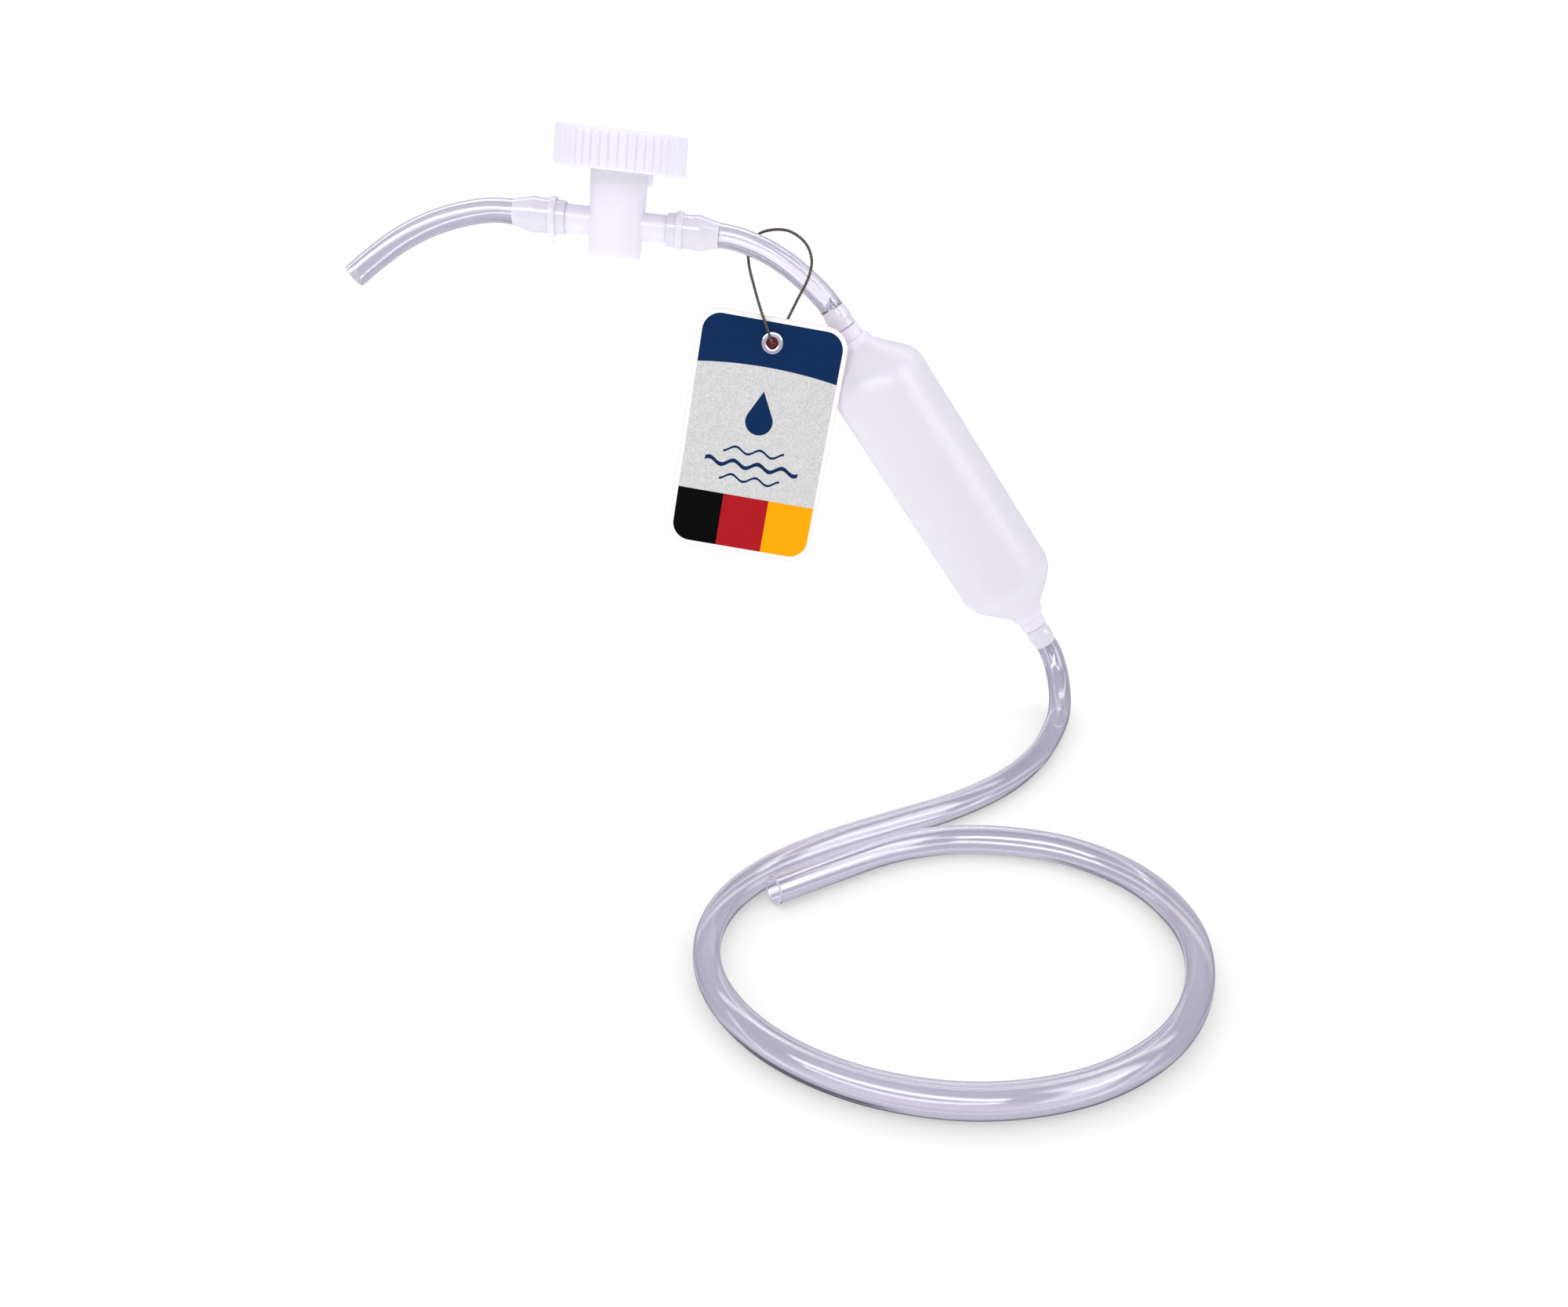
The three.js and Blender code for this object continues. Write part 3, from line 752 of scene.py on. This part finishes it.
# ---------------------------------------------------------------- tap
def tap_body():
    """The barrel with its two arms and the stop lug, moulded in one."""
    barrel = turned(
        "tap_body",
        rounded(
            [(0, -16.5), (13.2, -16.5), (14.3, 19.4), (14.3, 27.4), (0, 27.4)], [0, 1.2, 2, 0.6, 0]
        ),
        TAP, 96, closed=False,
    )
    arm = rounded(
        [
            (0, 0), (6.9, 0), (6.9, 27.4), (7.45, 28), (7.45, 36.2), (6.9, 37.0), (6.9, 39.4), (7.9, 40.1),
            (7.9, 42), (5.4, ARM_TIP), (0, ARM_TIP),
        ],
        0.35,
    )
    arms = [
        turned("arm", arm, TAP @ Matrix.Rotation(side * TURN / 4, 4, "Y"), 64, closed=False)
        for side in (-1, 1)
    ]
    lug = block("lug", (4.6, 6, 8), TAP @ Matrix.Translation((14.3, 0, 23.4)))
    combine(barrel, [*arms, lug], "UNION")
    bore = turned(
        "bore",
        [
            (0, -13), (9.55, -13), (9.55, 18.05), (11.75, 18.05), (11.75, 20.85), (12.95, 20.85),
            (12.95, 22.95), (11.75, 22.95), (11.75, 28.4), (0, 28.4),
        ],
        TAP, 64, closed=False,
    )
    port = turned(
        "port", [(0, -53), (4, -53), (4, 53), (0, 53)], TAP @ Matrix.Rotation(TURN / 4, 4, "Y"), 40,
        closed=False,
    )
    combine(barrel, [bore, port], "DIFFERENCE")
    moulded(barrel, 0.4, 6)
    return barrel


RIB_DEPTH = 0.9
RIB_TOP = 42.6
RIB_FOOT = 25.2


def clamped(value):
    return min(max(value, 0), 1)


def ribs(angle, radius, height):
    """How far the knob's grip stands out: rounded ribs that fade into the top and bottom rims."""
    if radius < 30:
        return 0
    share = (angle / TURN * KNOB_RIBS) % 1
    rib = clamped((0.5 - abs(share - 0.5)) / 0.22)
    rib = rib * rib * (3 - 2 * rib)
    below_top = clamped((RIB_TOP - height) / 0.9)
    above_foot = clamped((height - RIB_FOOT) / 0.7)
    return RIB_DEPTH * (rib * (below_top * above_foot) + (1 - below_top) * 0.75)


def tap_knob():
    """The ribbed cap, with a hollow underside, a boss on the plug's square end and two stops."""
    profile = rounded(
        [
            (0, 43.6), (25.5, 43.6), (26.3, 44), (32.0, 44), (31.9, 42.4), (31.9, 25.4), (29.4, 25.4),
            (28.5, 41), (8.6, 41), (8.6, 28.2), (0, 28.2),
        ],
        [0, 0.4, 0.6, 1.3, 0.2, 0.5, 0.5, 0.8, 0.6, 0.4, 0],
    )
    side = [(31.9, 42.2 - 16.4 * k / 14) for k in range(1, 14)]
    first = next(i for i, (r, z) in enumerate(profile) if z < 41.5 and r > 31)
    profile = profile[:first] + side + profile[first:]
    knob = turned("tap_knob", profile, TAP, KNOB_RIBS * 10, closed=False, grow=ribs)
    stops = [
        block(
            "stop", (3.2, 2.4, 15.6),
            TAP @ Matrix.Rotation(math.radians(angle), 4, "Z") @ Matrix.Translation((16.6, 0, 33.6)),
        )
        for angle in (17, -107)
    ]
    combine(knob, stops, "UNION")
    socket = block("socket", (9.7, 9.7, 20), TAP @ Matrix.Translation((0, 0, 28.35)))
    combine(knob, [socket], "DIFFERENCE")
    return finished(knob, 42)


def hose_clip(name, side, tab_angle):
    """A narrow ring round the hose, with a tab at an angle in degrees from straight down."""
    ring = rounded([(8.2, -1.7), (9.6, -1.7), (9.6, 1.7), (8.2, 1.7)], 0.6, closed=True)
    place = TAP @ Matrix.Translation((side * CLIP_X, 0, 0)) @ Matrix.Rotation(TURN / 4, 4, "Y")
    clip = turned(name, ring, place, 96)
    tab = block(
        "tab", (5.4, 3.4, 3.0),
        place @ Matrix.Rotation(math.radians(tab_angle), 4, "Z") @ Matrix.Translation((11.6, 0, 0)),
    )
    combine(clip, [tab], "UNION")
    return moulded(clip, 0.22, 6)


# ---------------------------------------------------------------- squeeze bulb
BULB_R = 26
BULB_HALF = [  # (radius, distance from the middle), out of the barrel to the barb's tip
    (BULB_R, 64.5), (25.3, 68.5), (23.6, 72), (21.2, 75.2), (10.6, 86), (9.0, 88.4), (8.7, 91.4),
    (COLLAR_R, 92.2), (COLLAR_R, COLLAR_END), (5.4, COLLAR_END), (5.4, 102.6), (5.85, 103.4),
    (5.85, 105.6), (5.0, BULB_TIP),
]
BULB_ROUNDING = [3, 3, 3, 3, 3, 1.2, 0.5, 0.5, 0.4, 0.2, 0.3, 0.4, 0.4, 0.3]
BULB_INSIDE = [(3.8, BULB_TIP), (3.8, 90), (9.8, 84.4), (20.2, 73.8), (22.4, 70.4), (24.4, 64)]
RIDGE_HEIGHT = 0.14
RIDGE_HALF_WIDTH = 0.7
RIDGE_ANGLES = (-0.04, -0.027, -0.013, 0.013, 0.027, 0.04)  # extra points beside each ridge


def parting_line(angle, radius, height):
    """The fine ridge that the two halves of the mould leave along the bulb."""
    off = abs(math.sin(angle)) * radius
    if radius < 8 or off > RIDGE_HALF_WIDTH:
        return 0
    return RIDGE_HEIGHT * (1 - off / RIDGE_HALF_WIDTH)


def squeeze_bulb():
    """A blow-moulded chamber: thin wall, conical shoulders, and a neck and barb at each end."""
    half = rounded(BULB_HALF, BULB_ROUNDING, steps=5)
    inside = rounded(BULB_INSIDE, 1.5)
    mirrored = [[(r, -z) for r, z in part[::-1]] for part in (half, inside)]
    barrel = [(BULB_R, z) for z in range(-56, 57, 8)]
    profile = mirrored[0] + barrel + half + inside + mirrored[1]
    beside = [side + off for side in (0.0, TURN / 2) for off in RIDGE_ANGLES]
    angles = sorted(angle % TURN for angle in evenly(120) + beside)
    bulb = turned("squeeze_bulb", profile, BULB, angles=angles, grow=parting_line)
    return finished(bulb, 32)


# ---------------------------------------------------------------- swing tag
BARE_BOARD_UV = (0, 300)  # past the print, so the board shows
HOLE_R = 3.7


def tag_outline(width, height, radius, steps=12):
    """A rectangle's outline with round corners."""
    points = []
    for quarter, (x, z) in enumerate(((1, 1), (-1, 1), (-1, -1), (1, -1))):
        for k in range(steps + 1):
            angle = TURN / 4 * (quarter + k / steps)
            points.append(
                Vector((
                    x * (width / 2 - radius) + radius * math.cos(angle), 0,
                    z * (height / 2 - radius) + radius * math.sin(angle),
                ))
            )
    return points


def tag_card():
    """A flat card with round corners and a hole. Its UV is in millimetres on the front only."""
    edit = bmesh.new()
    outline = tag_outline(TAG_WIDTH, TAG_HEIGHT, TAG_CORNER)
    hole = [Vector((HOLE_R * math.cos(a), 0, TAG_HOLE_UP + HOLE_R * math.sin(a))) for a in evenly(40)]
    edges = []
    for loop in (outline, hole):
        verts = [edit.verts.new(p) for p in loop]
        edges += [edit.edges.new((a, b)) for a, b in zip(verts, verts[1:] + verts[:1])]
    bmesh.ops.triangle_fill(edit, edges=edges, use_beauty=True)
    front = list(edit.faces)
    made = bmesh.ops.extrude_face_region(edit, geom=front)
    moved = [v for v in made["geom"] if isinstance(v, bmesh.types.BMVert)]
    bmesh.ops.translate(edit, verts=moved, vec=(0, TAG_THICKNESS, 0))
    bmesh.ops.translate(edit, verts=edit.verts, vec=(0, -TAG_THICKNESS / 2, 0))
    bmesh.ops.recalc_face_normals(edit, faces=edit.faces)
    layer = edit.loops.layers.uv.new("print")
    for face in edit.faces:
        shown = face.calc_center_median().y < 0
        for corner in face.loops:
            corner[layer].uv = (corner.vert.co.x, corner.vert.co.z) if shown else BARE_BOARD_UV
    bmesh.ops.transform(edit, matrix=Matrix.Scale(MM, 4) @ TAG, verts=edit.verts)
    data = bpy.data.meshes.new("tag_card")
    edit.to_mesh(data)
    edit.free()
    return as_object("tag_card", data)


def at_hole():
    """The hole's own frame: Z turns to face the front."""
    return TAG @ Matrix.Translation((0, 0, TAG_HOLE_UP)) @ Matrix.Rotation(TURN / 4, 4, "X")


def tag_eyelet():
    """A tube through the card's hole, with its collar rolled out over the front."""
    profile = rounded(
        [
            (3.0, -0.2), (3.35, -0.3), (3.35, 0.75), (5.4, 0.75),
            (5.7, 0.95), (5.1, 1.45), (3.7, 1.55), (3.0, 1.15),
        ],
        0.3,
        closed=True,
    )
    return finished(turned("tag_eyelet", profile, at_hole(), 72), 50)


def tag_fibre_washer():
    """A flat ring behind the card, which shows inside the eyelet."""
    profile = rounded([(0.9, -1.25), (6.4, -1.25), (6.4, -0.75), (0.9, -0.75)], 0.12, closed=True)
    return finished(turned("tag_fibre_washer", profile, at_hole(), 64), 50)


def knot(turns=48):
    """A small overhand knot: one closed loop of cord that passes through itself."""
    path = []
    for turn in evenly(turns):
        across = math.sin(turn) + 2 * math.sin(2 * turn)
        upward = math.cos(turn) - 2 * math.cos(2 * turn)
        path.append(KNOT + Vector((across, -math.sin(3 * turn), upward)) * KNOT_SIZE)
    rings = []
    for i, centre in enumerate(path):
        forward = (path[(i + 1) % turns] - path[i - 1]).normalized()
        side = forward.cross(Vector((0, 1, 0))).normalized()
        upward = forward.cross(side)
        rings.append([centre + (side * math.cos(a) + upward * math.sin(a)) * STRING_R for a in evenly(14)])
    return skin("knot", rings, closed=True)


def tag_string():
    """Two threads twisted into a cord, round the link hose and through the hole, with a knot behind."""
    line = smooth_line(STRING_ROUTE)
    along = distances(line)
    count = round(along[-1] / 0.45)
    stops = [along[-1] * k / count for k in range(count + 1)]
    centres = [at(line, along, s) for s in stops]
    rings = []
    for s, centre, (forward, side) in zip(stops, centres, travel(centres)):
        across = forward.cross(side)
        ring = []
        for angle in evenly(14):
            radius = STRING_R * (1.0 + 0.12 * math.cos(2 * (angle - TURN * s / 3.4)))
            ring.append(centre + (side * math.cos(angle) + across * math.sin(angle)) * radius)
        rings.append(ring)
    string = skin("tag_string", rings)
    gather(string, knot())
    string.visible_transmission = False  # it isn't seen through the link hose
    return finished(string, 70)


# ---------------------------------------------------------------- stage
def area_light(name, place, target, size, power):
    data = bpy.data.lights.new(name, "AREA")
    data.shape = "RECTANGLE"
    data.size, data.size_y = size
    data.energy = power
    light = as_object(name, data)
    light.location = place
    light.rotation_euler = (Vector(target) - Vector(place)).to_track_quat("-Z", "Y").to_euler()


def floor():
    """A pale floor. Clear and glossy surfaces show the studio round it and not the floor itself."""
    edit = bmesh.new()
    bmesh.ops.create_circle(edit, cap_ends=True, segments=64, radius=6)
    bmesh.ops.translate(edit, verts=edit.verts, vec=(0, 0, FLOOR_Z * MM - 0.0002))
    data = bpy.data.meshes.new("floor")
    edit.to_mesh(data)
    edit.free()
    made = as_object("floor", data)
    surface = Surface(
        "floor", base_color=(0.829, 0.847, 0.8, 1), roughness=0.9, specular_ior_level=0.0,
        emission_color=(1, 1, 1, 1),
    )
    seen = surface.add("LightPath").outputs["Is Camera Ray"]
    surface.drive("Emission Strength", surface.span(seen, 0.5, 0.26))
    made.data.materials.append(surface.material)
    made.visible_transmission = False
    made.visible_glossy = False


def softbox(made, direction, azimuth, elevation, width, height, softness=0.06):
    """1 inside a soft-edged rectangle of the studio's sphere. Angles are in degrees from the front."""
    around = Matrix.Rotation(math.radians(azimuth), 3, "Z")
    turn = around @ Matrix.Rotation(math.radians(-elevation), 3, "X")
    towards = turn @ Vector((0, -1, 0))
    right = turn @ Vector((1, 0, 0))
    above = turn @ Vector((0, 0, 1))
    facing = made.dot(direction, towards)
    mask = made.edge(facing, 0.0)
    for side, size in ((right, width), (above, height)):
        limit = math.tan(math.radians(size / 2))
        off = made.math("ABSOLUTE", made.math("DIVIDE", made.dot(direction, side), facing))
        mask = made.math("MULTIPLY", mask, made.edge(made.math("SUBTRACT", limit, off), softness))
    return mask


def by_height(made, direction, levels):
    """A colour for each height of the studio's sphere, from -1, straight down, to 1, straight up."""
    height = made.add("SeparateXYZ", {0: direction}).outputs["Z"]
    ramp = made.add("ValToRGB", {0: made.span(height, 0.0, 1.0, -1.0)})
    elements = ramp.color_ramp.elements
    while len(elements) < len(levels):
        elements.new(0.5)
    for element, (place, colour) in zip(elements, levels):
        element.position = (place + 1) / 2
        element.color = (*colour, 1)
    return ramp.outputs["Color"]


def matt_shade(level):
    """The studio as milky plastic and card meet it: nearly white, with a breath of lavender."""
    return (0.965 * level, 0.945 * level, level)


def clear_shade(level):
    """The studio as clear hose passes it on: the darker it is, the more lavender."""
    warm = level * (0.7 + 0.27 * level)
    return (warm, 0.97 * warm, level)


# (height, brightness) pairs of the studio's sphere
MATT_LEVELS = [(-1, 1.05), (0, 0.95), (1, 0.94)]
CLEAR_LEVELS = [
    (-1, 0.66), (-0.72, 0.66), (-0.68, 0.84), (-0.64, 0.64), (-0.56, 0.6), (-0.525, 0.58),
    (-0.505, 1.05), (-0.49, 0.58), (-0.465, 0.58), (-0.45, 1.0), (-0.435, 0.58), (-0.33, 0.46),
    (-0.2, 0.56), (-0.1, 0.7), (0.1, 0.72), (0.35, 0.66), (0.6, 0.8), (1, 0.95),
]
SIDE_SHADE = 0.4  # how much darker the studio's two sides are
FLAG = (255, -66, 50, 30)  # a dark screen, low on the left: azimuth, elevation, width and height
FLAG_DARKNESS = 0.85
WINDOWS = [(198, -0.1, 36, 2.2), (176, -5, 22, 5)]  # bright slots seen through the hoses at the tap
WINDOW_COLOUR = (1.08, 1.06, 1.12)
WINDOW_SOFTNESS = 0.012
SOFTBOXES = [  # azimuth, elevation, width, height, brightness
    (-25, 30, 80, 16, 7.0),
    (60, 30, 34, 40, 4.0),
    (170, 60, 110, 12, 3.0),
]


def world():
    """White past the object. Gloss, clear hoses and matt surfaces each meet the studio that suits them."""
    studio = bpy.data.worlds.new("studio")
    bpy.context.scene.world = studio
    studio.use_nodes = True
    made = Nodes(studio.node_tree)
    direction = made.add("TexCoord").outputs["Generated"]
    matt = by_height(made, direction, [(z, matt_shade(level)) for z, level in MATT_LEVELS])
    through = by_height(made, direction, [(z, clear_shade(level)) for z, level in CLEAR_LEVELS])
    across = made.math("POWER", made.math("ABSOLUTE", made.dot(direction, (1, 0, 0))), 2.0)
    shade = made.math("SUBTRACT", 1.0, made.math("MULTIPLY", across, SIDE_SHADE))
    flag = made.math("MULTIPLY", softbox(made, direction, *FLAG), FLAG_DARKNESS)
    shade = made.math("MULTIPLY", shade, made.math("SUBTRACT", 1.0, flag))
    through = made.add("MixRGB", {0: 1.0, 1: through, 2: shade}, blend_type="MULTIPLY").outputs[0]
    for window in WINDOWS:
        slot = softbox(made, direction, *window, WINDOW_SOFTNESS)
        through = made.blend(slot, through, WINDOW_COLOUR)
    shine = made.value(0.0)
    for azimuth, elevation, width, height, brightness in SOFTBOXES:
        box = softbox(made, direction, azimuth, elevation, width, height)
        shine = made.math("ADD", shine, made.math("MULTIPLY", box, brightness))
    glossy = made.add("MixRGB", {0: 1.0, 1: through, 2: shine}, blend_type="ADD").outputs[0]
    ray = made.add("LightPath").outputs
    colour = made.blend(ray["Is Transmission Ray"], matt, through)
    colour = made.blend(ray["Is Glossy Ray"], colour, glossy)
    scattered = made.math("GREATER_THAN", ray["Diffuse Depth"], 0.5)
    colour = made.blend(scattered, colour, matt)
    colour = made.blend(ray["Is Camera Ray"], colour, (1, 1, 1))
    made.tree.links.new(colour, made.tree.nodes["Background"].inputs["Color"])


def lights():
    """Two weak lamps, aimed at the middle of the siphon. Places and sizes are in metres."""
    middle = (0.08, -0.1, -0.1)
    area_light("key", (-0.5, -0.9, 0.75), middle, (0.9, 0.5), 0.7)
    area_light("top", (0.1, 0.5, 1.0), middle, (1.4, 0.35), 1.4)


# ---------------------------------------------------------------- the object
def place_piece(piece, material, body, node):
    """Gives a piece its material and slot, and lets it ride a body in place of a CAD node."""
    piece.data.materials.clear()
    piece.data.materials.append(material)
    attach(piece, body)
    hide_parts(node)


camera()
PVC = clear_pvc()
PVC_ON_BARB = pvc_on_barb()
outlet_hose()
suction_hose()
link_hose()

TAP_MILKY = milky("milky_tap", (0.83, 0.80, 0.95), (0.90, 0.87, 0.98), 0.36)
# The knob uses the tap's milky plastic with a darker base: painted shade that offsets the stronger light
# on the knob.
KNOB_MILKY_SHADE_PAINTED = milky("milky_knob", (0.79, 0.77, 0.88), (0.86, 0.835, 0.92), 0.36)
BULB_MILKY = milky("milky_bulb", (0.82, 0.785, 0.99), (0.875, 0.835, 1.0), 0.4)

place_piece(tap_body(), TAP_MILKY, "siphon", "tap_body")
place_piece(tap_knob(), KNOB_MILKY_SHADE_PAINTED, "knob", "tap_knob")
for name, side, tab_angle in (("outlet_hose_clip", -1, 0), ("link_hose_clip", 1, 100)):
    place_piece(hose_clip(name, side, tab_angle), TAP_MILKY, "siphon", name)
place_piece(squeeze_bulb(), BULB_MILKY, "siphon", "squeeze_bulb")
place_piece(tag_card(), printed_card(), "swing_tag", "tag_card")
place_piece(tag_eyelet(), nickel(), "swing_tag", "tag_eyelet")
place_piece(tag_fibre_washer(), red_fibre(), "swing_tag", "tag_fibre_washer")
place_piece(tag_string(), dark_string(), "swing_tag", "tag_string")
for node, material in (
    ("tap_plug", TAP_MILKY),
    ("plug_seal_lower", rubber()),
    ("plug_seal_upper", rubber()),
    ("plug_retaining_ring", spring_steel()),
):
    frame["nodes"][node].data.materials.clear()
    frame["nodes"][node].data.materials.append(material)

floor()
world()
lights()
bpy.context.scene.view_settings.view_transform = "Standard"
